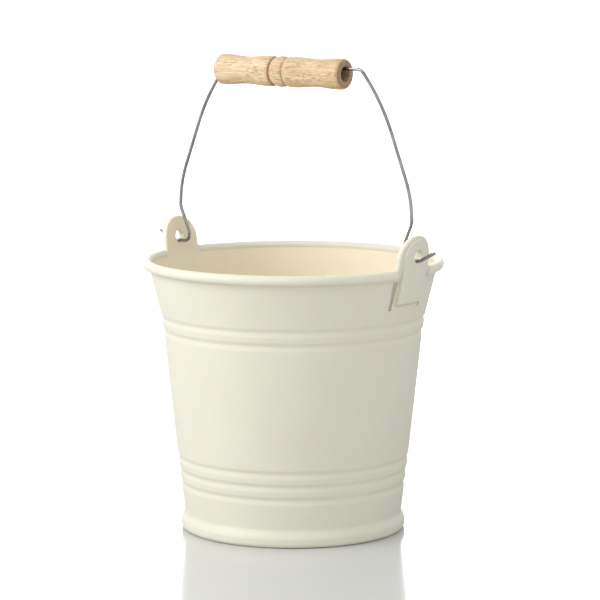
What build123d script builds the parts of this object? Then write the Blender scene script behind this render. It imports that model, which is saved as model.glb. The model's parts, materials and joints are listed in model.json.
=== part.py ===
from build123d import *
from math import atan2, cos, radians, sin, sqrt, tan
import os

# Florist bucket: a moulded pail with two ears, a wire bail and a turned grip.
# Millimetres. The origin is the centre of the foot where it stands, +Z is up,
# and the ears and the bail's hinge axis lie along X.

# ---- driving dimensions ------------------------------------------------

HEIGHT = 149.0  # floor to the top of the rim
RIM_R = 82.5  # outer radius of the rim bead
RIM_BEAD_R = 2.7  # radius of the rolled-looking rim bead
WALL = 1.6  # thickness of the moulded wall

BAND_DEPTH = 29.3  # rim top down to the lower edge of the flared band
BAND_INSET = 10.0  # how far that edge is inside RIM_R
BAND_TOP_INSET = 3.4  # the same where the band meets the rim bead
UPPER_RIBS_DEPTH = 41.0  # rim top down to the end of the upper ribs
UPPER_RIBS_INSET = 11.9
LOWER_RIBS_TOP = 43.8  # height where the lower ribs begin
LOWER_RIBS_INSET = 18.8
NECK_HEIGHT = 9.4  # narrowest place, just above the foot
NECK_INSET = 23.0

GROOVE_DEPTH = 0.8  # how deep a groove is cut below the wall line
GROOVE_TOP_RUN = 1.7  # height of its upper flank
GROOVE_FOOT_RUN = 2.3  # height of its lower flank, up to the next crest
UPPER_GROOVES = 2
UPPER_GROOVE_DEPTH = 31.3  # rim top down to the first groove
UPPER_GROOVE_PITCH = 7.5
LOWER_GROOVES = 3
LOWER_GROOVE_HEIGHT = 26.0  # height of the lowest groove
LOWER_GROOVE_PITCH = 7.2

FOOT_PROUD = 2.0  # how far the foot stands out from the neck
FOOT_HEIGHT = 7.2  # height of the foot's straight side
FOOT_ROUND = 2.6  # rounding of its lower edge
FOOT_RING = 3.2  # width of the ring that the bucket stands on
BASE_LIFT = 3.0  # clearance under the bottom panel
BASE_THICKNESS = 2.2

EAR_PLATE = 2.8  # thickness of the ear's plate
EAR_HALF_WIDTH = 14.2  # at the rim
EAR_ARCH_HALF = 13.8  # half the span of the arched top
EAR_ARCH_HEIGHT = 12.5
EAR_RISE = 17.6  # rim top up to the top of the arch
EAR_LEAN = 7.5  # outward lean of the ear above the rim, degrees
EAR_FADE = 0.5  # how far below the rim bead the plate runs out into the wall
HOLE_R = 3.5  # the bail's hole
HOLE_BELOW_TOP = 11.1  # top of the ear down to the hole's centre

EAR_THICKNESS = 3.9  # plate and raised strap together
STRAP_TOP_INSET = 1.5  # top of the ear down to the top of the strap
STRAP_ARCH_HALF = 11.0
STRAP_ARCH_HEIGHT = 10.5
STRAP_FOOT_HALF = 10.2  # half its width at its lower edge
STRAP_DROP = 20.5  # rim top down to that edge
STRAP_STEP_RUN = 2.0  # height of the sloped step at that edge

SLOT_TOP_GAP = 0.9  # strap's lower edge, sideways to the relief slot's top
SLOT_TOP_WIDTH = 4.0
SLOT_FOOT_GAP = 1.9  # the same at the slot's foot
SLOT_FOOT_WIDTH = 2.1
SLOT_DEPTH = 1.0
SLOT_TOP_DROP = 6.2  # rim top down to the slot's top
SLOT_FOOT_DROP = 22.0

WIRE_R = 0.9
PIN_GAP = 0.2  # between the wire and the bottom of its hole
BAIL_RISE = 100.0  # hinge axis up to the wire's straight top
BAIL_TOP_SPARE = 3.2  # straight top beyond each end of a centred grip
BAIL_KNEE_OUT = 14.3  # from that corner out to the knee
BAIL_KNEE_DROP = 19.1
BAIL_HIP_IN = 0.7  # from the shoulder in to the hip
BAIL_HIP_RISE = 33.7
SHOULDER_IN = 0.3  # shoulder, inside the ear's inner face
SHOULDER_RISE = 19.5
HOOK_TOP_IN = 6.5  # top of the hook, inside that face
HOOK_TOP_RISE = 5.2
HOOK_FOOT_IN = 5.9
PRONG_OUT = 1.2  # ear's outer face out to the prong's bend
PRONG_LENGTH = 9.4
PRONG_RISE = 5.0
# Bend radii from the prong up to the straight top, where the runs have room for them.
BEND_RADII = [5.0, 3.0, 4.0, 8.0, 60.0, 110.0, 6.0]

GRIP_LENGTH = 84.0
GRIP_BULGE_R = 8.35
GRIP_WAIST_R = 7.5
GRIP_BEAD_R = 8.4
GRIP_BEAD_HALF = 4.4  # centre of the bead out to the groove beside it
GRIP_GROOVE_DEPTH = 1.2
GRIP_SHOULDER = 2.2  # groove out to the full barrel
GRIP_END_ROUND = 2.2
GRIP_BULGE_BACK = 5.0  # from the end back to the barrel's outer bulge
GRIP_BORE_R = 4.0
GRIP_BORE_CHAMFER = 0.6
GRIP_TOP_GAP = 0.15  # between the wire and the top of the bore
GRIP_SEAT_GAP = 0.3  # between the bent wire and the bore's lower edge

# ---- shared places -----------------------------------------------------

BEAD_Z = HEIGHT - RIM_BEAD_R
BEAD_RING_R = RIM_R - RIM_BEAD_R
BAND_Z = HEIGHT - BAND_DEPTH
EAR_TOP_Z = HEIGHT + EAR_RISE
PLATE_FOOT_Z = BEAD_Z - RIM_BEAD_R - EAR_FADE
HOLE_Z = EAR_TOP_Z - HOLE_BELOW_TOP
HINGE_Z = HOLE_Z - HOLE_R + WIRE_R + PIN_GAP
BAIL_TOP_HALF = GRIP_LENGTH / 2 + BAIL_TOP_SPARE

# The wall's outer line without its grooves, as (radius, height), from the
# neck up to the middle of the rim bead.
WALL_LINE = [
    (RIM_R - NECK_INSET, NECK_HEIGHT),
    (RIM_R - LOWER_RIBS_INSET, LOWER_RIBS_TOP),
    (RIM_R - UPPER_RIBS_INSET, HEIGHT - UPPER_RIBS_DEPTH),
    (RIM_R - BAND_INSET, BAND_Z),
    (RIM_R - BAND_TOP_INSET, BEAD_Z),
]


def wall_radius(height):
    """Outer radius of the plain wall at a height, straight between its points."""
    for (r0, z0), (r1, z1) in zip(WALL_LINE, WALL_LINE[1:]):
        if height <= z1:
            break
    return r0 + (r1 - r0) * (height - z0) / (z1 - z0)


def ear_inner_radius(height):
    """Inner face of the ear: flush with the wall's inner face, then leaning out."""
    if height <= BEAD_Z:
        return wall_radius(height) - WALL
    return wall_radius(BEAD_Z) - WALL + (height - BEAD_Z) * tan(radians(EAR_LEAN))


def groove(height):
    """One groove as points going up: crest, bottom, wall line."""
    foot = height - GROOVE_FOOT_RUN
    top = height + GROOVE_TOP_RUN
    return [
        (wall_radius(foot), foot),
        (wall_radius(height) - GROOVE_DEPTH, height),
        (wall_radius(top), top),
    ]


def groove_heights():
    """Heights of all the grooves, from the lowest up."""
    lower = [LOWER_GROOVE_HEIGHT + i * LOWER_GROOVE_PITCH for i in range(LOWER_GROOVES)]
    first = HEIGHT - UPPER_GROOVE_DEPTH
    upper = [first - i * UPPER_GROOVE_PITCH for i in range(UPPER_GROOVES)]
    return lower + upper[::-1]


def turned(points):
    """Solid of revolution about Z from a closed (radius, height) outline."""
    outline = Polyline(*[(r, 0, z) for r, z in points], close=True)
    return revolve(make_face(outline), Axis.Z)


# ---- bucket body -------------------------------------------------------


def outer_line():
    """Outer wall from the neck to the bead, with its grooves and bends in order."""
    points = list(WALL_LINE)
    for height in groove_heights():
        points += groove(height)
    return sorted(points, key=lambda p: p[1])


def pail():
    """The turned part of the body: foot, bottom panel, wall and rim bead."""
    foot_r = RIM_R - NECK_INSET + FOOT_PROUD
    ring_r = foot_r - FOOT_ROUND - FOOT_RING
    base_top = BASE_LIFT + BASE_THICKNESS
    inner_line = [(r - WALL, z) for r, z in WALL_LINE]
    outline = [(0, BASE_LIFT), (ring_r, BASE_LIFT), (ring_r, 0)]
    outline += [(foot_r - FOOT_ROUND, 0)]
    for step in (0.25, 0.5, 0.75, 1.0):
        turn = radians(90 * step)
        x = foot_r - FOOT_ROUND + FOOT_ROUND * sin(turn)
        outline += [(x, FOOT_ROUND - FOOT_ROUND * cos(turn))]
    outline += [(foot_r, FOOT_HEIGHT)]
    outline += outer_line()
    outline += inner_line[:0:-1]
    outline += [(wall_radius(NECK_HEIGHT) - WALL, base_top), (0, base_top)]
    bead = revolve(Plane.XZ * Pos(BEAD_RING_R, BEAD_Z) * Circle(RIM_BEAD_R), Axis.Z)
    return turned(outline) + bead


def arched(arch_half, arch_height, top, lower_corners):
    """Outline in (Y, Z) with a half-ellipse top over straight sides."""
    arch_z = top - arch_height
    side = [(-arch_half, arch_z)] + [(-y, z) for y, z in lower_corners]
    other = [(-y, z) for y, z in reversed(side)]
    edges = Polyline(*(side + other))
    arch = EllipticalCenterArc((0, arch_z), arch_half, arch_height, arc_size=180)
    return make_face([edges, arch])


def across(face):
    """A face drawn in (Y, Z), made a bar that runs right across the bucket on X."""
    reach = 2 * RIM_R
    return extrude(Plane.YZ * face, amount=reach, both=True)


def plates():
    """The two ear plates, which run out into the wall just below the rim bead."""
    foot_z = PLATE_FOOT_Z - 1
    corners = [(EAR_HALF_WIDTH, BEAD_Z), (EAR_HALF_WIDTH, foot_z)]
    full_z = BEAD_Z + RIM_BEAD_R
    inner = [(ear_inner_radius(z), z) for z in (EAR_TOP_Z, BEAD_Z, foot_z)]
    outer = [
        (wall_radius(foot_z) - WALL / 2, foot_z),
        (wall_radius(PLATE_FOOT_Z), PLATE_FOOT_Z),
        (ear_inner_radius(full_z) + EAR_PLATE, full_z),
        (ear_inner_radius(EAR_TOP_Z) + EAR_PLATE, EAR_TOP_Z),
    ]
    outline = arched(EAR_ARCH_HALF, EAR_ARCH_HEIGHT, EAR_TOP_Z, corners)
    return across(outline) & turned(inner + outer)


def straps():
    """Raised straps on the plates, carried down over the wall to a sloped step."""
    foot_z = HEIGHT - STRAP_DROP
    step_z = foot_z + STRAP_STEP_RUN
    top_z = EAR_TOP_Z - STRAP_TOP_INSET
    proud = EAR_THICKNESS - WALL
    inner = [(ear_inner_radius(z), z) for z in (top_z, BEAD_Z, foot_z)]
    outer = [
        (wall_radius(foot_z), foot_z),
        (wall_radius(step_z) + proud, step_z),
        (ear_inner_radius(BEAD_Z) + EAR_THICKNESS, BEAD_Z),
        (ear_inner_radius(top_z) + EAR_THICKNESS, top_z),
    ]
    outline = arched(STRAP_ARCH_HALF, STRAP_ARCH_HEIGHT, top_z, [(STRAP_FOOT_HALF, foot_z)])
    return across(outline) & turned(inner + outer)


def slot_outline():
    """Relief slot beside the strap, wider at its top."""
    top = HEIGHT - SLOT_TOP_DROP
    foot = HEIGHT - SLOT_FOOT_DROP
    top_start = STRAP_FOOT_HALF + SLOT_TOP_GAP
    foot_start = STRAP_FOOT_HALF + SLOT_FOOT_GAP
    corners = [
        (foot_start, foot),
        (foot_start + SLOT_FOOT_WIDTH, foot),
        (top_start + SLOT_TOP_WIDTH, top),
        (top_start, top),
    ]
    return make_face(Polyline(*corners, close=True))


def slot_ring():
    """The outer layer of the wall that the slots are cut out of."""
    top = HEIGHT - SLOT_TOP_DROP
    foot = HEIGHT - SLOT_FOOT_DROP
    beyond = RIM_R + RIM_BEAD_R
    floor = [(wall_radius(z) - SLOT_DEPTH, z) for z in (foot, BAND_Z, top) if z >= foot]
    return turned(floor + [(beyond, top), (beyond, foot)])


def bucket_body():
    """Pail and ears in one moulding, with the bail's holes and the relief slots."""
    gap_height = EAR_TOP_Z - PLATE_FOOT_Z
    gap_middle = Pos(0, PLATE_FOOT_Z + gap_height / 2)
    gap = across(gap_middle * Rectangle(2 * EAR_HALF_WIDTH, gap_height))
    slots = across(slot_outline() + mirror(slot_outline(), Plane.YZ)) & slot_ring()
    holes = across(Pos(0, HOLE_Z) * Circle(HOLE_R))
    return pail() - gap - slots + plates() + straps() - holes


# ---- bail and grip -----------------------------------------------------


def bail_points():
    """Corners of the wire from its right-hand prong up to the straight top."""
    inner = ear_inner_radius(HINGE_Z)
    prong = inner + EAR_THICKNESS + PRONG_OUT
    shoulder = inner - SHOULDER_IN
    heights_and_reaches = [
        (prong + PRONG_LENGTH, PRONG_RISE),
        (prong, 0),
        (inner - HOOK_FOOT_IN, 0),
        (inner - HOOK_TOP_IN, HOOK_TOP_RISE),
        (shoulder, SHOULDER_RISE),
        (shoulder - BAIL_HIP_IN, BAIL_HIP_RISE),
        (BAIL_TOP_HALF + BAIL_KNEE_OUT, BAIL_RISE - BAIL_KNEE_DROP),
        (BAIL_TOP_HALF, BAIL_RISE),
    ]
    return [(x, HINGE_Z + z) for x, z in heights_and_reaches]


def bend_radii(points):
    """Wanted radius at each inner corner, less where two bends would overlap on a run."""
    runs = [Vector(*b) - Vector(*a) for a, b in zip(points, points[1:])]
    halves = [tan(radians(run.get_angle(after)) / 2) for run, after in zip(runs, runs[1:])]
    wanted = BEND_RADII + BEND_RADII[::-1]
    reaches = [0] + [radius * half for radius, half in zip(wanted, halves)] + [0]
    room = [0.98 * run.length / (a + b) for run, a, b in zip(runs, reaches, reaches[1:])]
    return [radius * min(1, a, b) for radius, a, b in zip(wanted, room, room[1:])]


def bail_wire():
    """One bent wire, the same on both sides."""
    right = bail_points()
    left = [(-x, z) for x, z in reversed(right)]
    points = [(x, 0, z) for x, z in right + left]
    path = FilletPolyline(*points, radius=bend_radii(points))
    section = Plane(origin=path @ 0, z_dir=path % 0) * Circle(WIRE_R)
    return sweep(section, path)


def grip_end():
    """How far left the grip can slide before the bent wire meets its bore."""
    bend = atan2(BAIL_KNEE_DROP, BAIL_KNEE_OUT)
    room = 2 * GRIP_BORE_R - WIRE_R - GRIP_TOP_GAP - WIRE_R / cos(bend) - GRIP_SEAT_GAP
    return -(BAIL_TOP_HALF + room / tan(bend))


def half_grip():
    """Half the turned grip on +X, from the middle of its bead to its end."""
    end = GRIP_LENGTH / 2
    groove_r = GRIP_BEAD_R - GRIP_GROOVE_DEPTH
    barrel = GRIP_BEAD_HALF + GRIP_SHOULDER
    bulge = end - GRIP_BULGE_BACK
    corner = GRIP_BORE_R + GRIP_BORE_CHAMFER
    diagonal = GRIP_END_ROUND * (1 - sqrt(0.5))
    bead = ThreePointArc(
        (-GRIP_BEAD_HALF, groove_r), (0, GRIP_BEAD_R), (GRIP_BEAD_HALF, groove_r)
    ).trim(0.5, 1)
    shoulder = Line((GRIP_BEAD_HALF, groove_r), (barrel, GRIP_BULGE_R))
    waist = Spline(
        (barrel, GRIP_BULGE_R),
        ((barrel + bulge) / 2, GRIP_WAIST_R),
        (bulge, GRIP_BULGE_R),
        tangents=[(1, 0), (1, 0)],
    )
    side = Line((bulge, GRIP_BULGE_R), (end - GRIP_END_ROUND, GRIP_BULGE_R))
    rounding = ThreePointArc(
        (end - GRIP_END_ROUND, GRIP_BULGE_R),
        (end - diagonal, GRIP_BULGE_R - diagonal),
        (end, GRIP_BULGE_R - GRIP_END_ROUND),
    )
    bore = Polyline(
        (end, GRIP_BULGE_R - GRIP_END_ROUND),
        (end, corner),
        (end - GRIP_BORE_CHAMFER, GRIP_BORE_R),
        (0, GRIP_BORE_R),
        (0, GRIP_BEAD_R),
    )
    return make_face([bead, shoulder, waist, side, rounding, bore])


def wooden_grip():
    """Turned wooden grip with a loose bore, hanging on the wire's straight top."""
    half = revolve(half_grip(), Axis.X)
    whole = half + mirror(half, Plane.YZ)
    axis_z = HINGE_Z + BAIL_RISE + WIRE_R + GRIP_TOP_GAP - GRIP_BORE_R
    return Pos(grip_end() + GRIP_LENGTH / 2, 0, axis_z) * whole


# ---- write the parts ---------------------------------------------------

if __name__ == "__main__":
    os.makedirs("parts", exist_ok=True)
    pieces = {
        "bucket_body": bucket_body(),
        "bail_wire": bail_wire(),
        "wooden_grip": wooden_grip(),
    }
    for name, piece in pieces.items():
        export_step(piece, f"parts/{name}.step")
        box = piece.bounding_box()
        print(f"{name}: {piece.volume:.0f} mm3, {box.size.X:.1f} x {box.size.Y:.1f} x {box.size.Z:.1f}")
    print(f"hinge axis z {HINGE_Z:.2f}, hole z {HOLE_Z:.2f}, grip end x {grip_end():.2f}")
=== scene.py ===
import json
import math

import bpy
import numpy as np
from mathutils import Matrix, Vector


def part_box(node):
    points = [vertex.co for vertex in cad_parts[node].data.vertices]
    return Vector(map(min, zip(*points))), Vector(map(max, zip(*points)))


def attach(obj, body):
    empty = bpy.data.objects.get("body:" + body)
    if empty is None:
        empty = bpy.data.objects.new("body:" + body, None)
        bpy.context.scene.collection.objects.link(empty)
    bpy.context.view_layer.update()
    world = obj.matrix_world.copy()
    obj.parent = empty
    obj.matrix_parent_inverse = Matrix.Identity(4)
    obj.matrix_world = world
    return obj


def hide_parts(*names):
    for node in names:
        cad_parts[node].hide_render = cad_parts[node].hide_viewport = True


# A moulded florist pail with a wire bail and a turned wooden grip, in metres.
# The pail's axis is Z, and the ears and the bail's hinge lie along X.

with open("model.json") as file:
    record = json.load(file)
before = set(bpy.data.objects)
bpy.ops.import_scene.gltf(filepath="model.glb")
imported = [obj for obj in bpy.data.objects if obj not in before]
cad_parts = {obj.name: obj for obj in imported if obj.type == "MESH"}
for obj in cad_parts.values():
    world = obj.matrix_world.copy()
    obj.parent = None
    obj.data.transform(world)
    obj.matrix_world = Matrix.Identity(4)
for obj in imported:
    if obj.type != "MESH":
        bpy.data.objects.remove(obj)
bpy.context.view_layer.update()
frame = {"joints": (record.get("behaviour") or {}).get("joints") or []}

MM = 0.001
joints = {joint["name"]: joint for joint in frame["joints"]}

# ---- sizes -------------------------------------------------------------

pail_low, pail_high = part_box("bucket_body")
RIM_R = pail_high.y
EAR_TOP = pail_high.z
EAR_RISE = 17.6 * MM
RIM_TOP = EAR_TOP - EAR_RISE
BEAD_R = 2.7 * MM
BEAD_Z = RIM_TOP - BEAD_R
BEAD_RING = RIM_R - BEAD_R
WALL = 1.6 * MM

# The plain wall from the neck over the foot up to the rim bead.
WALL_HEIGHTS = np.array([9.4 * MM, 43.8 * MM, RIM_TOP - 41.0 * MM, RIM_TOP - 29.3 * MM, BEAD_Z])
WALL_RADII = RIM_R - np.array([23.0, 18.8, 11.9, 10.0, 3.4]) * MM
GROOVES = [26.0 * MM, 33.2 * MM, 40.4 * MM, RIM_TOP - 38.8 * MM, RIM_TOP - 31.3 * MM]
GROOVE_DEPTH = 0.65 * MM
GROOVE_TOP_RUN = 2.2 * MM
GROOVE_FOOT_RUN = 3.2 * MM

NECK_R = WALL_RADII[0]
FOOT_R = NECK_R + 2.0 * MM
FOOT_ROUND = 2.6 * MM
FOOT_RING = 3.2 * MM
BASE_LIFT = 3.0 * MM
BASE_TOP = 5.2 * MM

EAR_PLATE = 2.8 * MM
EAR_THICKNESS = 3.9 * MM  # plate and strap
EAR_HALF = 14.2 * MM
EAR_ARCH_HALF = 13.8 * MM
EAR_ARCH_HEIGHT = 12.5 * MM
EAR_LEAN = math.tan(math.radians(7.5))
PLATE_FOOT = BEAD_Z - 3.2 * MM
STRAP_TOP = EAR_TOP - 1.5 * MM
STRAP_ARCH_HALF = 11.0 * MM
STRAP_ARCH_HEIGHT = 10.5 * MM
STRAP_FOOT_HALF = 10.2 * MM
STRAP_FOOT = RIM_TOP - 20.5 * MM
STRAP_STEP = 2.0 * MM
STRAP_CORNER_R = 0.9 * MM
CREASE_SHADE = 0.35  # how strongly painted shade darkens the ear's crease and slope, from 0 to 1
SLOPE_SHADE = 0.45
BACK_PAINTED_WARM_SHADE = 0.8
HOLE_R = 3.5 * MM
HOLE_Z = EAR_TOP - 11.1 * MM

SLOT_DEPTH = 1.0 * MM
SLOT_TOP = RIM_TOP - 6.2 * MM
SLOT_FOOT = RIM_TOP - 22.0 * MM
SLOT_NEAR = 8.9  # the slot's two edges, in degrees round from the ear's middle
SLOT_FAR = 11.08
SLOT_NEAR_SPREAD = 0.6  # the near edge's slant, to each side of that
BEAD_END = 10.2  # degrees from the ear's middle, then the degrees it takes to round off
BEAD_END_ROUND = 1.1
BEAD_STUB_R = 0.65 * MM

WIRE_R = 0.9 * MM
BAIL_TOP_HALF = 45.2 * MM
KNEE_OUT = 14.3 * MM
KNEE_DROP = 19.1 * MM
HIP_IN = 0.7 * MM
HIP_RISE = 33.7 * MM
SHOULDER_IN = 0.3 * MM
SHOULDER_RISE = 19.5 * MM
HOOK_TOP_IN = 6.5 * MM
HOOK_TOP_RISE = 5.2 * MM
HOOK_FOOT_IN = 5.9 * MM
PRONG_OUT = 1.2 * MM
PRONG_LENGTH = 9.4 * MM
PRONG_RISE = 5.0 * MM
BEND_RADII = np.array([5.0, 3.0, 4.0, 8.0, 60.0, 110.0, 6.0]) * MM

GRIP_BORE_R = 4.0 * MM
GRIP_BEAD_R = 8.4 * MM
GRIP_BULGE_R = 8.35 * MM
GRIP_WAIST_R = 7.5 * MM
GRIP_GROOVE_X = 4.4 * MM
GRIP_GROOVE_DEPTH = 1.35 * MM
GRIP_SHOULDER = 2.6 * MM
GRIP_END_R = 2.2 * MM
GRIP_CHAMFER = 0.6 * MM


def smooth_step(t):
    """Eases from 0 to 1 as t goes from 0 to 1, level at both ends."""
    t = np.clip(t, 0.0, 1.0)
    return t * t * (3.0 - 2.0 * t)


def wall_radius(z):
    """Outer radius of the plain wall, straight from each point to the next."""
    return np.interp(z, WALL_HEIGHTS, WALL_RADII)


def inner_radius(z):
    """Inner face of wall and ear: parallel to the wall, then leaning out above the bead."""
    above = np.maximum(z - BEAD_Z, 0.0)
    return wall_radius(z) - WALL + above * EAR_LEAN


def grooved_radius(z):
    """Outer wall with its grooves. Each groove is half a cosine wave down on its upper
    flank and half a wave back up on its longer lower flank."""
    radius = wall_radius(z)
    for height in GROOVES:
        offset = z - height
        run = np.where(offset > 0, GROOVE_TOP_RUN, GROOVE_FOOT_RUN)
        share = np.clip(np.abs(offset) / run, 0.0, 1.0)
        radius = radius - GROOVE_DEPTH * 0.5 * (1.0 + np.cos(math.pi * share))
    return radius


# ---- mesh making -------------------------------------------------------


def grid_quads(rows, columns, wrap_rows, wrap_columns):
    """Corner numbers of a grid's four-sided faces, wrapped round on either side."""
    r = np.arange(rows if wrap_rows else rows - 1)[:, None]
    c = np.arange(columns if wrap_columns else columns - 1)[None, :]
    r_next = (r + 1) % rows
    c_next = (c + 1) % columns
    corners = (r * columns + c, r * columns + c_next, r_next * columns + c_next, r_next * columns + c)
    return np.stack([np.broadcast_to(k, (r.size, c.size)) for k in corners], -1).reshape(-1, 4)


def pole_faces(ring, pole, flip):
    """Triangles from a ring of corner numbers to one middle corner."""
    after = np.roll(ring, -1)
    middle = np.full_like(ring, pole)
    return np.stack([after, ring, middle] if flip else [ring, after, middle], -1)


def make_piece(name, points, faces, material, body, nodes):
    """A shaded mesh in its place, riding on a body and standing for CAD nodes."""
    mesh = bpy.data.meshes.new(name)
    mesh.from_pydata(points.reshape(-1, 3).tolist(), [], faces)
    mesh.validate()
    mesh.shade_smooth()
    mesh.set_sharp_from_angle(angle=math.radians(50))
    mesh.materials.append(material)
    piece = bpy.data.objects.new(name, mesh)
    bpy.context.scene.collection.objects.link(piece)
    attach(piece, body)
    if nodes:
        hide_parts(*nodes)
    return piece


def add_values(piece, name, values):
    """Stores one number for each corner of the mesh, for its material to read."""
    attribute = piece.data.attributes.new(name, "FLOAT", "POINT")
    attribute.data.foreach_set("value", np.ravel(values).astype(np.float32))


# ---- materials ---------------------------------------------------------


class Finish:
    """A node material, with short calls for the nodes that every finish uses."""

    def __init__(self, name):
        self.material = bpy.data.materials.new(name)
        self.material.use_nodes = True
        self.tree = self.material.node_tree
        self.shader = self.tree.nodes["Principled BSDF"]
        self.place = self.node("ShaderNodeTexCoord").outputs["Object"]

    def node(self, kind, **values):
        node = self.tree.nodes.new(kind)
        for key, value in values.items():
            setattr(node, key, value)
        return node

    def link(self, output, target):
        self.tree.links.new(output, target)

    def set(self, **values):
        for key, value in values.items():
            self.shader.inputs[key.replace("_", " ")].default_value = value

    def noise(self, scale, stretch=(1, 1, 1), detail=3.0, roughness=0.5, seed=(0, 0, 0)):
        """Noise on object coordinates, drawn out along an axis by a small stretch."""
        mapping = self.node("ShaderNodeMapping")
        mapping.inputs["Scale"].default_value = stretch
        mapping.inputs["Location"].default_value = seed
        self.link(self.place, mapping.inputs["Vector"])
        noise = self.node("ShaderNodeTexNoise")
        noise.inputs["Scale"].default_value = scale
        noise.inputs["Detail"].default_value = detail
        noise.inputs["Roughness"].default_value = roughness
        self.link(mapping.outputs["Vector"], noise.inputs["Vector"])
        return noise.outputs["Fac"]

    def span(self, value, low, high, out_low=0.0, out_high=1.0):
        """Maps low..high to out_low..out_high, held at both ends."""
        node = self.node("ShaderNodeMapRange")
        limits = {"From Min": low, "From Max": high, "To Min": out_low, "To Max": out_high}
        for key, number in limits.items():
            node.inputs[key].default_value = number
        self.link(value, node.inputs["Value"])
        return node.outputs["Result"]

    def math(self, kind, first, second):
        node = self.node("ShaderNodeMath", operation=kind)
        for socket, value in zip(node.inputs, (first, second)):
            if isinstance(value, (int, float)):
                socket.default_value = value
            else:
                self.link(value, socket)
        return node.outputs["Value"]

    def mix(self, amount, first, second):
        """Colour mixed from first to second; each is a colour or another node's output."""
        node = self.node("ShaderNodeMix", data_type="RGBA")
        if isinstance(amount, (int, float)):
            node.inputs["Factor"].default_value = amount
        else:
            self.link(amount, node.inputs["Factor"])
        for socket, value in ((node.inputs[6], first), (node.inputs[7], second)):
            if isinstance(value, tuple):
                socket.default_value = (*value, 1.0)
            else:
                self.link(value, socket)
        return node.outputs[2]

    def value(self, name):
        """A number stored on the mesh."""
        return self.node("ShaderNodeAttribute", attribute_name=name).outputs["Fac"]

    def bump(self, height, strength, distance, under=None):
        node = self.node("ShaderNodeBump")
        node.inputs["Strength"].default_value = strength
        node.inputs["Distance"].default_value = distance
        self.link(height, node.inputs["Height"])
        if under is not None:
            self.link(under, node.inputs["Normal"])
        return node.outputs["Normal"]


def ivory_plastic():
    """Matt ivory moulded plastic with a fine soft grain and a faint unevenness of tone. A painted
    warm shade tints it where a mesh is marked inside; painted brown shade darkens slots and creases."""
    f = Finish("ivory_plastic")
    cloud = f.noise(28.0, detail=2.0)
    grain = f.noise(1500.0, detail=2.0)
    ripple = f.noise(120.0, detail=1.0)
    tone = f.mix(f.span(cloud, 0.35, 0.65), (0.730, 0.716, 0.600), (0.765, 0.750, 0.640))
    fleck = f.mix(f.span(grain, 0.35, 0.7), (0.715, 0.700, 0.585), tone)
    # Painted warm shade: the inside's colour is pulled towards a warm tan.
    painted_warm_shade = f.mix(f.math("MULTIPLY", f.value("inside"), 0.55), fleck, (0.88, 0.765, 0.54))
    # Painted shade: the marked slots, creases and slopes turn browner and darker.
    painted_shade_colour = f.mix(f.math("MULTIPLY", f.value("recess"), 0.8), painted_warm_shade, (0.50, 0.43, 0.30))
    f.link(painted_shade_colour, f.shader.inputs["Base Color"])
    f.link(f.span(grain, 0.3, 0.7, 0.46, 0.6), f.shader.inputs["Roughness"])
    soft = f.bump(ripple, 0.12, 0.0006)
    f.link(f.bump(grain, 0.25, 0.0001, soft), f.shader.inputs["Normal"])
    f.set(IOR=1.46, Subsurface_Weight=0.12, Subsurface_Scale=0.002)
    f.shader.inputs["Subsurface Radius"].default_value = (1.0, 0.7, 0.4)
    return f.material


def steel_wire():
    """Grey drawn steel, with fine darker scuffs and duller patches along it."""
    f = Finish("steel_wire")
    patch = f.noise(160.0, detail=3.0)
    scuff = f.noise(2600.0, (1, 1, 0.12), detail=2.0)
    metal = f.mix(f.span(patch, 0.35, 0.65), (0.21, 0.21, 0.215), (0.34, 0.34, 0.34))
    scuffed = f.mix(f.span(scuff, 0.62, 0.75, 0.0, 0.5), metal, (0.10, 0.095, 0.09))
    f.link(scuffed, f.shader.inputs["Base Color"])
    f.link(f.span(patch, 0.3, 0.7, 0.14, 0.28), f.shader.inputs["Roughness"])
    f.link(f.bump(scuff, 0.2, 0.00005), f.shader.inputs["Normal"])
    f.set(Metallic=1.0)
    return f.material


def turned_wood():
    """Light open-pored wood: soft bands, short brown pores along the grain, and rough
    darker end grain. The grain runs along X."""
    f = Finish("turned_wood")
    band = f.noise(90.0, (0.12, 1, 1), detail=2.0, seed=(0.3, 0.1, 0.7))
    fibre = f.noise(900.0, (0.05, 1, 1), detail=3.0, roughness=0.6)
    pore = f.noise(1900.0, (0.15, 1, 1), detail=1.0, seed=(0.9, 0.4, 0.2))
    spread = f.noise(170.0, (0.35, 1, 1), detail=1.0, seed=(0.5, 0.8, 0.1))
    pale = (0.77, 0.61, 0.41)
    warm = (0.65, 0.46, 0.27)
    colour = f.mix(f.span(band, 0.38, 0.66), pale, warm)
    colour = f.mix(f.span(fibre, 0.42, 0.68, 0.0, 0.75), colour, (0.54, 0.35, 0.18))
    pores = f.math("MULTIPLY", f.span(pore, 0.53, 0.63), f.span(spread, 0.36, 0.56, 0.3, 1.0))
    colour = f.mix(f.math("MULTIPLY", pores, 0.75), colour, (0.36, 0.19, 0.075))
    end = f.value("end_grain")
    ring = f.noise(1100.0, (0.4, 1, 1), detail=3.0, roughness=0.7)
    end_colour = f.mix(f.span(ring, 0.38, 0.62), (0.25, 0.155, 0.085), (0.44, 0.30, 0.18))
    colour = f.mix(end, colour, end_colour)
    colour = f.mix(f.math("MULTIPLY", f.value("in_groove"), 0.75), colour, (0.36, 0.20, 0.08))
    f.link(colour, f.shader.inputs["Base Color"])
    f.link(f.span(fibre, 0.3, 0.7, 0.5, 0.68), f.shader.inputs["Roughness"])
    height = f.math("SUBTRACT", fibre, f.math("MULTIPLY", pores, 0.9))
    f.link(f.bump(height, 0.35, 0.00022), f.shader.inputs["Normal"])
    f.set(IOR=1.45)
    return f.material


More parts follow.
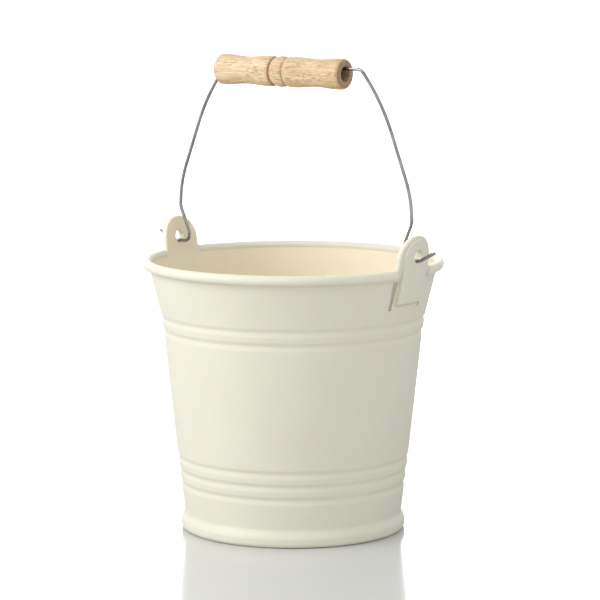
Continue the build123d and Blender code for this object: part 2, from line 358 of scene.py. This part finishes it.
def pale_floor():
    """Plain pale board with a polished face, which mirrors what stands on it. It glows white
    far from the middle, by an ease of the distance."""
    f = Finish("pale_floor")
    f.set(Base_Color=(0.62, 0.62, 0.62, 1.0), Roughness=0.16, IOR=1.55)
    f.shader.inputs["Emission Color"].default_value = (1.0, 1.0, 1.0, 1.0)
    length = f.node("ShaderNodeVectorMath", operation="LENGTH")
    f.link(f.place, length.inputs[0])
    glow = f.span(length.outputs["Value"], 0.7, 2.0, 0.0, 0.8)
    f.link(glow, f.shader.inputs["Emission Strength"])
    return f.material


# ---- pail --------------------------------------------------------------


def round_angles():
    """Columns round the pail, in radians: even steps, and close ones beside each ear
    where the bead ends and the slots lie."""
    near = [0, 2, 4, 6, 7.5, 8.3, 8.7, 8.84, 8.87, 8.93, 8.96, 9.1, 9.6, 10.0, 10.2, 10.23, 10.3]
    near += [10.42, 10.6, 10.85, 10.98, 11.04, 11.07, 11.1, 11.13, 11.2, 11.3, 11.6, 12.1, 13.0, 14.2]
    quarter = np.concatenate([near, np.linspace(15.6, 90, 50)])
    half = np.concatenate([quarter, 180 - quarter[-2:0:-1]])
    return np.radians(np.concatenate([half, half + 180]))


def from_ear(angles):
    """Angle in degrees from the middle of the nearer ear, never negative."""
    turn = np.degrees(angles) % 180.0
    return np.minimum(turn, 180.0 - turn)


def pail_profile():
    """Half section of the pail from the middle of its underside out, up the wall, over the
    bead and down inside, as radii and heights, without the two poles."""
    ring = FOOT_R - FOOT_ROUND - FOOT_RING
    under = np.array([[15, 0], [32, 0], [45, 0], [52, 0]]) * MM + [0, BASE_LIFT]
    step = np.array([[-0.5, 3.0], [-0.15, 2.85], [0, 2.5], [0, 0.5], [0.15, 0.15], [0.5, 0]]) * MM
    step = step + [ring, 0]
    turn = np.radians(np.linspace(-90, 0, 9))
    foot = np.stack([np.cos(turn), 1 + np.sin(turn)], -1) * FOOT_ROUND + [FOOT_R - FOOT_ROUND, 0]
    z = np.linspace(4.0, 10.3, 16) * MM
    lift = smooth_step((z - 4.4 * MM) / (5.9 * MM))
    roll = np.stack([FOOT_R + (grooved_radius(z) - FOOT_R) * lift, z], -1)
    flared = RIM_TOP - 22.4 * MM
    z = np.concatenate([
        np.linspace(10.6, 21.5, 9) * MM,
        np.arange(22.2 * MM, 44.5 * MM, 0.36 * MM),
        np.linspace(47 * MM, RIM_TOP - 43.5 * MM, 18),
        np.arange(RIM_TOP - 42.8 * MM, RIM_TOP - 27.5 * MM, 0.36 * MM),
        np.linspace(RIM_TOP - 26.5 * MM, flared, 4),
        SLOT_FOOT + np.array([-0.2, -0.1, 0, 0.1, 0.25, 0.6]) * MM,
        np.linspace(SLOT_FOOT + 1.5 * MM, SLOT_TOP - 0.8 * MM, 12),
        SLOT_TOP + np.array([-0.25, -0.1, 0, 0.1, 0.2, 0.5, 0.8]) * MM,
    ])
    wall = np.stack([grooved_radius(z), z], -1)
    angle = np.radians(np.linspace(-116, 200, 26))
    bead = np.stack([np.cos(angle), np.sin(angle)], -1) * BEAD_R + [BEAD_RING, BEAD_Z]
    under_bead = np.array([-1.2, -1.7, -2.5]) * MM + BEAD_Z
    z = np.concatenate([under_bead, np.linspace(BEAD_Z - 5 * MM, BASE_TOP + 3 * MM, 26)])
    inside = np.stack([wall_radius(z) - WALL, z], -1)
    corner = inside[-1, 0] - 0.3 * MM
    turn = np.radians(np.linspace(0, 90, 7))
    fillet = np.stack([np.cos(turn) - 1, 1 - np.sin(turn)], -1) * 2.6 * MM + [corner, BASE_TOP]
    floor = np.array([[50, 0], [40, 0], [26, 0], [12, 0]]) * MM + [0, BASE_TOP]
    parts = [under, step, foot, roll, wall, bead, inside, fillet, floor]
    rows = np.concatenate(parts)
    first = sum(len(p) for p in parts[:5])
    return rows, slice(first, first + len(bead))


def pail_shell(material):
    """Pail without its ears. The section is turned round Z. Beside the ears the wall is
    sunk by the slots: depth times an ease across the slot times an ease up it, on columns
    that lean with the slot's near edge. In the ears the bead's section fades to a plain
    rounded wall end, by a quarter circle. The inside is marked for a painted warm shade, and the
    slots for a painted brown shade, in the material."""
    section, bead_rows = pail_profile()
    angles = round_angles()
    away = from_ear(angles)[None, :]
    radius = np.repeat(section[:, :1], len(angles), 1)
    height = np.repeat(section[:, 1:], len(angles), 1)

    near_side = smooth_step((away - SLOT_NEAR + 0.03) / 0.06)
    far_side = 1.0 - smooth_step((away - SLOT_FAR + 0.03) / 0.06)
    inside_slot = near_side * far_side
    up = np.clip((height - SLOT_FOOT) / (SLOT_TOP - SLOT_FOOT), 0.0, 1.0)
    pull = smooth_step((away - 6.0) / 2.7) * (1.0 - smooth_step((away - 9.0) / 1.4))
    outward = np.sign(np.sin(2 * angles))
    slant = np.radians(SLOT_NEAR_SPREAD * (1.0 - 2.0 * up) * pull) * outward
    up_slot = smooth_step((height - SLOT_FOOT) / (0.25 * MM) + 0.5)
    up_slot = up_slot * (1.0 - smooth_step((height - SLOT_TOP) / (0.25 * MM) + 0.5))
    outside = radius > wall_radius(height) - 0.5 * WALL
    sunk = inside_slot * up_slot * outside
    radius = radius - SLOT_DEPTH * sunk

    count = bead_rows.stop - bead_rows.start
    turn = np.radians(np.linspace(-30, 190, count))[:, None]
    end_r = inner_radius(BEAD_Z) + 0.8 * MM + BEAD_STUB_R * np.cos(turn)
    end_z = BEAD_Z + BEAD_STUB_R * np.sin(turn)
    share = np.clip((BEAD_END + BEAD_END_ROUND - away) / BEAD_END_ROUND, 0.0, 1.0)
    full = np.sqrt(1.0 - share**2)
    radius[bead_rows] = end_r + (radius[bead_rows] - end_r) * full
    height[bead_rows] = end_z + (height[bead_rows] - end_z) * full

    turned = angles + slant
    points = np.stack([radius * np.cos(turned), radius * np.sin(turned), height], -1)
    rows, columns = radius.shape
    poles = np.array([[0, 0, BASE_LIFT], [0, 0, BASE_TOP]])
    everything = np.concatenate([points.reshape(-1, 3), poles])
    count = rows * columns
    ring = np.arange(columns)
    faces = grid_quads(rows, columns, False, True).tolist()
    faces += pole_faces(ring, count, True).tolist()
    faces += pole_faces(ring + count - columns, count + 1, False).tolist()
    piece = make_piece("pail", everything, faces, material, "pail", ["bucket_body"])
    # The inside is marked for the material's painted warm shade.
    inside = np.repeat(np.arange(rows) >= bead_rows.stop, columns)
    add_values(piece, "inside", np.concatenate([inside, [False, True]]))
    # The slots are marked for the material's painted brown shade; sunk is also their depth.
    add_values(piece, "recess", np.concatenate([sunk.ravel(), [0.0, 0.0]]))
    return piece


def arched_outline(half, arch_height, top, lower, count):
    """Evenly spaced outline as (y, z), from the middle of its foot round by +Y: through the
    lower corners, then half an ellipse."""
    turn = np.radians(np.linspace(0, 90, 60))
    arch = np.stack([half * np.cos(turn), top - arch_height + arch_height * np.sin(turn)], -1)
    right = np.concatenate([[[0, lower[0][1]]], lower, arch])
    whole = np.concatenate([right, right[-2::-1] * [-1, 1]])
    along = np.concatenate([[0], np.cumsum(np.hypot(*np.diff(whole, axis=0).T))])
    even = np.linspace(0, along[-1], count, endpoint=False)
    return np.stack([np.interp(even, along, whole[:, k]) for k in (0, 1)], -1)


def reach_from_hole(outline):
    """Turn and distance of each outline point, seen from the middle of the hole."""
    y, z = outline[:, 0], outline[:, 1] - HOLE_Z
    turn = np.mod(np.arctan2(z, y) + math.pi / 2, 2 * math.pi)
    turn[0] = 0.0
    return turn, np.hypot(y, z)


def round_edge(distance, radius):
    """Drop of a face at a distance from its rounded edge, a quarter circle."""
    near = np.clip(1.0 - distance / radius, 0.0, 1.0)
    return radius * (1.0 - np.sqrt(1.0 - near**2))


def plate_outline():
    """The ear plate's own edge. Below the rim it narrows, and stays buried in the wall."""
    lower = np.array([
        [10.6 * MM, STRAP_FOOT - 0.6 * MM],
        [11.3 * MM, PLATE_FOOT - 2.4 * MM],
        [EAR_HALF, PLATE_FOOT - 0.4 * MM],
        [EAR_HALF, BEAD_Z],
    ])
    return arched_outline(EAR_ARCH_HALF, EAR_ARCH_HEIGHT, EAR_TOP, lower, 3000)


def strap_outline():
    """The raised strap's edge, with small rounds at its lower corners."""
    turn = np.radians(np.linspace(-90, 0, 9))
    corner = np.stack([np.cos(turn) - 1, np.sin(turn) + 1], -1) * STRAP_CORNER_R
    corner = corner + [STRAP_FOOT_HALF, STRAP_FOOT]
    return arched_outline(STRAP_ARCH_HALF, STRAP_ARCH_HEIGHT, STRAP_TOP, corner, 300)


def pail_ear(name, side, material):
    """One ear: a curved plate with a hole, and a strap raised on it. Its rings run out along
    the same spokes from the hole, over the front and back behind. Each ring is a distance on
    those spokes and a height over the wall's inner radius, lowered by the rounded edges. The
    crease round the strap and the slope at its foot are marked for painted shade, and the back
    for a painted warm shade, as the pail's inside is."""
    spokes, strap = reach_from_hole(strap_outline())
    plate = np.interp(spokes, *reach_from_hole(plate_outline()), period=2 * math.pi)
    direction = np.stack([np.sin(spokes), -np.cos(spokes)], -1)

    def heights(z):
        """Back face, plate's face and strap's face at a height."""
        back = smooth_step((BEAD_Z - 0.3 * MM - z) / (3 * MM)) * 0.25 * MM - 0.03 * MM
        face = np.interp(z, [PLATE_FOOT - 1.2 * MM, PLATE_FOOT, RIM_TOP], [0.5 * MM, WALL, EAR_PLATE])
        slope = smooth_step((z - STRAP_FOOT) / STRAP_STEP)
        return back, face, WALL + (EAR_THICKNESS - WALL) * slope

    rings = []
    # Per ring: its painted shade for the crease and slope, and its painted warm shade for the back.
    recess = []
    inside = []

    def ring(reach, kind, drop=0.0):
        """One ring on a face, lowered by drop. In the crease at the strap's foot, drop is
        instead the share of the way up the strap's side."""
        y, z = (reach[:, None] * direction).T
        z = z + HOLE_Z
        back, face, top = heights(z)
        thick = (face - back) / EAR_PLATE
        slope = 1.0 - smooth_step((z - STRAP_FOOT - 1.3 * MM) / (0.9 * MM))
        # Each kind gives its lift, its painted shade and its painted warm shade.
        lift, painted_dark, warm = {
            "back": (back + drop * thick, 0.0, BACK_PAINTED_WARM_SHADE),
            "plate": (face - drop * thick, 0.0, 0.0),
            "foot": (face + drop * np.maximum(top - face, 0.0), CREASE_SHADE, 0.0),
            "strap": (top - drop, SLOPE_SHADE * slope, 0.0),
        }[kind]
        radius = inner_radius(z) + lift
        rings.append(np.stack([side * np.sqrt(radius**2 - y**2), y, z], -1))
        recess.append(painted_dark + 0.0 * z)
        inside.append(warm + 0.0 * z)

    soft, crisp, lip, brow, band = np.array([0.9, 0.4, 0.4, 0.55, 2.9]) * MM
    hole = np.full_like(strap, HOLE_R)
    for share in (0.0, 0.02, 0.08, 0.2, 0.4, 0.7, 1.0):
        ring(plate - share * soft, "plate", round_edge(share * soft, soft))
    for share in (0.35, 0.7, 1.0):
        ring(plate - soft + (strap + 0.2 * MM - plate + soft) * share, "plate")
    ring(strap + 0.07 * MM, "foot", 0.04)
    ring(strap + 0.015 * MM, "foot", 0.15)
    ring(strap, "foot", 0.4)
    for share in (0.0, 0.02, 0.08, 0.2, 0.4, 0.7, 1.0):
        ring(strap - share * brow, "strap", round_edge(share * brow, brow))
    for inset in np.array([0.85, 1.2, 1.6, 2.0, 2.4, 2.9]) * MM:
        ring(strap - inset, "strap")
    for share in (0.15, 0.3, 0.45, 0.6, 0.72, 0.82, 0.9, 0.96):
        ring(strap - band + (hole + lip - strap + band) * share, "strap")
    for share in (1.0, 0.6, 0.3, 0.1, 0.0):
        ring(hole + lip * share, "strap", round_edge(lip * share, lip))
    for share in (0.0, 0.1, 0.3, 0.6, 1.0):
        ring(hole + lip * share, "back", round_edge(lip * share, lip))
    for share in (0.1, 0.2, 0.35, 0.5, 0.65, 0.8, 0.92):
        ring(hole + lip + (plate - crisp - hole - lip) * share, "back")
    for share in (1.0, 0.6, 0.3, 0.1, 0.0):
        ring(plate - share * crisp, "back", round_edge(share * crisp, crisp))

    points = np.array(rings)
    faces = grid_quads(*points.shape[:2], True, True)
    if side > 0:
        faces = faces[:, ::-1]
    piece = make_piece(name, points, faces.tolist(), material, "pail", [])
    add_values(piece, "recess", np.array(recess))
    add_values(piece, "inside", np.array(inside))
    return piece


# ---- bail --------------------------------------------------------------


def rounded_path(corners, radii, step):
    """Evenly close points along straight runs joined by tangent arcs. At each corner the arc
    starts and ends radius times tan(half the turn) from it."""
    corners = np.array(corners, float)
    pieces = [corners[:1]]
    for before, corner, after, radius in zip(corners, corners[1:], corners[2:], radii):
        come = (corner - before) / np.linalg.norm(corner - before)
        go = (after - corner) / np.linalg.norm(after - corner)
        turn = math.acos(np.clip(come @ go, -1, 1))
        reach = radius * math.tan(turn / 2)
        middle = corner + (go - come) / np.linalg.norm(go - come) * radius / math.cos(turn / 2)
        start = corner - come * reach
        spread = np.linspace(0, turn, max(int(radius * turn / step), 6))[:, None]
        pieces.append(middle + (start - middle) * np.cos(spread) + come * radius * np.sin(spread))
    pieces.append(corners[-1:])
    path = np.concatenate(pieces)
    along = np.concatenate([[0], np.cumsum(np.linalg.norm(np.diff(path, axis=0), axis=1))])
    fill = np.arange(0, along[-1], step)
    every = np.unique(np.round(np.concatenate([along, fill]), 7))
    return np.stack([np.interp(every, along, path[:, k]) for k in range(path.shape[1])], -1)


def bail_corners():
    """Corners of the right half of the wire, from its prong up to the straight top."""
    hinge = joints["bail_swing"]["pos_m"][2]
    face = float(inner_radius(hinge))
    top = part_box("bail_wire")[1].z - WIRE_R
    prong = face + EAR_THICKNESS + PRONG_OUT
    shoulder = face - SHOULDER_IN
    return [
        (prong + PRONG_LENGTH, hinge + PRONG_RISE),
        (prong, hinge),
        (face - HOOK_FOOT_IN, hinge),
        (face - HOOK_TOP_IN, hinge + HOOK_TOP_RISE),
        (shoulder, hinge + SHOULDER_RISE),
        (shoulder - HIP_IN, hinge + HIP_RISE),
        (BAIL_TOP_HALF + KNEE_OUT, top - KNEE_DROP),
        (BAIL_TOP_HALF, top),
    ]


def bail_wire(material):
    """The wire: a circle carried along the bent path, closed by flat ends with a small round.
    The path lies in XZ, so each circle spans Y and the path's own normal."""
    right = bail_corners()
    corners = right + [(-x, z) for x, z in reversed(right)]
    path = rounded_path(corners, np.concatenate([BEND_RADII, BEND_RADII[::-1]]), 0.7 * MM)
    tangent = np.gradient(path, axis=0)
    tangent /= np.linalg.norm(tangent, axis=1)[:, None]
    ends = np.array([0.0, 0.05, 0.2]) * MM
    thin = np.array([0.75, 0.92, 1.0])
    start = path[0] + tangent[0] * ends[:, None]
    stop = path[-1] - tangent[-1] * ends[::-1, None]
    centre = np.concatenate([start, path[1:-1], stop])
    direction = np.concatenate([np.repeat(tangent[:1], 3, 0), tangent[1:-1], np.repeat(tangent[-1:], 3, 0)])
    radius = WIRE_R * np.concatenate([thin, np.ones(len(path) - 2), thin[::-1]])
    turn = np.linspace(0, 2 * math.pi, 28, endpoint=False)
    normal = np.stack([-direction[:, 1], direction[:, 0]], -1)
    swing = radius[:, None] * np.cos(turn)
    x = centre[:, :1] + normal[:, :1] * swing
    z = centre[:, 1:] + normal[:, 1:] * swing
    y = radius[:, None] * np.sin(turn)
    points = np.stack([x, y, z], -1)
    rows, columns = points.shape[:2]
    tips = np.array([[path[0, 0], 0, path[0, 1]], [path[-1, 0], 0, path[-1, 1]]])
    everything = np.concatenate([points.reshape(-1, 3), tips])
    count = rows * columns
    ring = np.arange(columns)
    faces = grid_quads(rows, columns, False, True).tolist()
    faces += pole_faces(ring, count, True).tolist()
    faces += pole_faces(ring + count - columns, count + 1, False).tolist()
    return make_piece("bail", everything, faces, material, "bail", ["bail_wire"])


# ---- grip --------------------------------------------------------------


def grip_radius(x, end):
    """Turned outline: a bead in the middle between two grooves, then barrels whose radius
    is a cosine wave from a bulge through a waist to a second bulge."""
    depth = GRIP_GROOVE_DEPTH
    x = np.abs(x)
    round_bead = GRIP_BEAD_R - depth * (x / GRIP_GROOVE_X) ** 2.1
    first = GRIP_GROOVE_X + GRIP_SHOULDER + 2.0 * MM
    last = end - 5.0 * MM
    wave = np.clip((x - first) / (last - first), 0.0, 1.0)
    dip = 0.5 * (1.0 - np.cos(2 * math.pi * wave))
    barrel = GRIP_BULGE_R - (GRIP_BULGE_R - GRIP_WAIST_R) * dip
    climb = np.clip((x - GRIP_GROOVE_X) / GRIP_SHOULDER, 0, 1)
    rise = np.sqrt(np.clip(1.0 - (1.0 - climb) ** 2.2, 0, 1))
    barrel = barrel - depth * (1.0 - rise)
    return np.where(x < GRIP_GROOVE_X, round_bead, barrel)


def wooden_grip(material):
    """The grip: its closed section, outside and bore, turned round the bore's own axis."""
    low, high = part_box("wooden_grip")
    end = (high.x - low.x) / 2
    centre = Vector(joints["grip_spin"]["pos_m"])
    round_r, chamfer = GRIP_END_R, GRIP_CHAMFER
    turn = np.radians(np.linspace(0, 90, 8))
    x = np.concatenate([
        np.linspace(0, 3.6, 12) * MM,
        np.linspace(3.9, 5.2, 9) * MM,
        np.linspace(5.5, 9, 8) * MM,
        np.linspace(10.2 * MM, end - round_r - 0.8 * MM, 34),
    ])
    outside = np.stack([x, grip_radius(x, end)], -1)
    rim = float(grip_radius(np.array(end - round_r), end))
    corner = np.stack([end - round_r * (1 - np.sin(turn)), rim - round_r * (1 - np.cos(turn))], -1)
    face_r = np.linspace(rim - round_r - 0.3 * MM, GRIP_BORE_R + chamfer, 5)
    face = np.stack([np.full(5, end), face_r], -1)
    mouth = np.array([[end - 0.15 * MM, GRIP_BORE_R + 0.4 * chamfer], [end - chamfer, GRIP_BORE_R]])
    bore_x = np.linspace(end - 2 * MM, 0, 10)
    bore = np.stack([bore_x, np.full(10, GRIP_BORE_R)], -1)
    half = np.concatenate([outside, corner, face, mouth, bore])
    other = half[-2:0:-1] * [-1, 1]
    section = np.concatenate([half, other])

    angle = np.linspace(0, 2 * math.pi, 112, endpoint=False)
    radius = section[:, 1:]
    along = np.repeat(section[:, :1], len(angle), 1)
    points = np.stack([along, radius * np.cos(angle), radius * np.sin(angle)], -1) + np.array(centre)
    faces = grid_quads(*points.shape[:2], True, True)
    piece = make_piece("grip", points, faces.tolist(), material, "grip", ["wooden_grip"])

    from_end = end - np.abs(section[:, 0])
    cut_end = smooth_step((1.1 * MM - from_end) / (0.9 * MM))
    groove = 1.0 - smooth_step(np.abs(np.abs(section[:, 0]) - 4.5 * MM) / (1.2 * MM))
    in_bore = section[:, 1] <= GRIP_BORE_R + 0.01 * MM
    add_values(piece, "end_grain", np.repeat(np.maximum(cut_end, in_bore)[:, None], len(angle), 1))
    add_values(piece, "in_groove", np.repeat((groove * ~in_bore)[:, None], len(angle), 1))
    return piece


# ---- floor, light and camera -------------------------------------------


def floor(material):
    """A board 60 m square, so that its edge is never in view."""
    half = 30.0
    mesh = bpy.data.meshes.new("floor")
    corners = [(-half, -half, 0), (half, -half, 0), (half, half, 0), (-half, half, 0)]
    mesh.from_pydata(corners, [], [(0, 1, 2, 3)])
    mesh.materials.append(material)
    board = bpy.data.objects.new("floor", mesh)
    bpy.context.scene.collection.objects.link(board)


def area_light(name, place, aim, width, height, power):
    """A soft oblong lamp that looks at a point."""
    data = bpy.data.lights.new(name, "AREA")
    data.shape = "RECTANGLE"
    data.size = width
    data.size_y = height
    data.energy = power
    lamp = bpy.data.objects.new(name, data)
    lamp.location = place
    lamp.rotation_euler = (Vector(aim) - Vector(place)).to_track_quat("-Z", "Y").to_euler()
    bpy.context.scene.collection.objects.link(lamp)


# The camera's direction from the pail, from which the lamps are placed too.
AZIMUTH = math.radians(36.3)
TO_RIGHT = Vector((math.cos(AZIMUTH), math.sin(AZIMUTH), 0))
TO_CAMERA = Vector((math.sin(AZIMUTH), -math.cos(AZIMUTH), 0))
UP = Vector((0, 0, 1))


def studio():
    """Grey-white surround, a soft key lamp high on the left, a weak fill in front, and a
    bright white panel behind, which the floor mirrors."""
    world = bpy.data.worlds.new("studio")
    bpy.context.scene.world = world
    world.use_nodes = True
    background = world.node_tree.nodes["Background"]
    background.inputs["Color"].default_value = (1.0, 1.0, 1.0, 1.0)
    background.inputs["Strength"].default_value = 0.78
    aim = UP * 0.12
    area_light("key", TO_RIGHT * -0.94 + TO_CAMERA * 0.3 + UP * 0.68, aim, 0.7, 0.7, 7.6)
    area_light("fill", TO_RIGHT * 0.2 + TO_CAMERA * 1.3 + UP * 0.6, aim, 1.2, 1.2, 2.6)
    area_light("panel", UP * 0.5 - TO_CAMERA * 1.5, UP * 0.5, 1.2, 1.0, 9.5)
    bpy.context.scene.view_settings.view_transform = "Standard"


def camera():
    """A long lens that looks about eight degrees down, from 1.6 m away."""
    distance, height, lens, width = 1.615, 0.349, 178.8, 36.0
    place = TO_CAMERA * distance + UP * height
    target = TO_RIGHT * 0.0038 + UP * 0.1255
    data = bpy.data.cameras.new("camera")
    data.lens = lens
    data.sensor_width = width
    data.clip_end = 100.0
    view = bpy.data.objects.new("camera", data)
    view.location = place
    view.rotation_euler = (target - place).to_track_quat("-Z", "Y").to_euler()
    bpy.context.scene.collection.objects.link(view)
    bpy.context.scene.camera = view


plastic = ivory_plastic()
pail_shell(plastic)
pail_ear("ear_right", 1.0, plastic)
pail_ear("ear_left", -1.0, plastic)
bail_wire(steel_wire())
wooden_grip(turned_wood())
floor(pale_floor())
studio()
camera()
